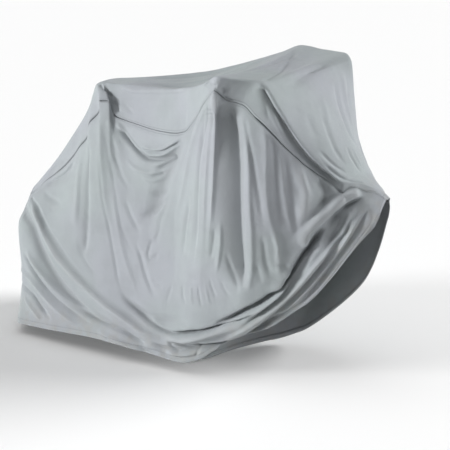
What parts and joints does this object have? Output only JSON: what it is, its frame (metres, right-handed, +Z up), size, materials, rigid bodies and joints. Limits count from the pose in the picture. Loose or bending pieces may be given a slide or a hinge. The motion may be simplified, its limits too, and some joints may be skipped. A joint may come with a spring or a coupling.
{
  "type": "bicycle cover",
  "caption": "Loose fabric cover draped over a bicycle, with a long top panel, two side panels and the front hem lifted onto the front wheel.",
  "frame": {"origin": "under the top panel, halfway between the two handlebar grips that hold it up", "axes": "+X along the bicycle towards its front wheel, +Y to the bicycle's left, +Z up"},
  "size_m": [1.5459, 0.6157, 1.0698],
  "materials": {
    "coated_fabric": "silver-grey coated woven fabric with a soft satin sheen"
  },
  "bodies": {
    "root": {"top_panel": "coated_fabric", "right_side_panel": "coated_fabric", "left_side_panel": "coated_fabric"}
  },
  "joints": []
}
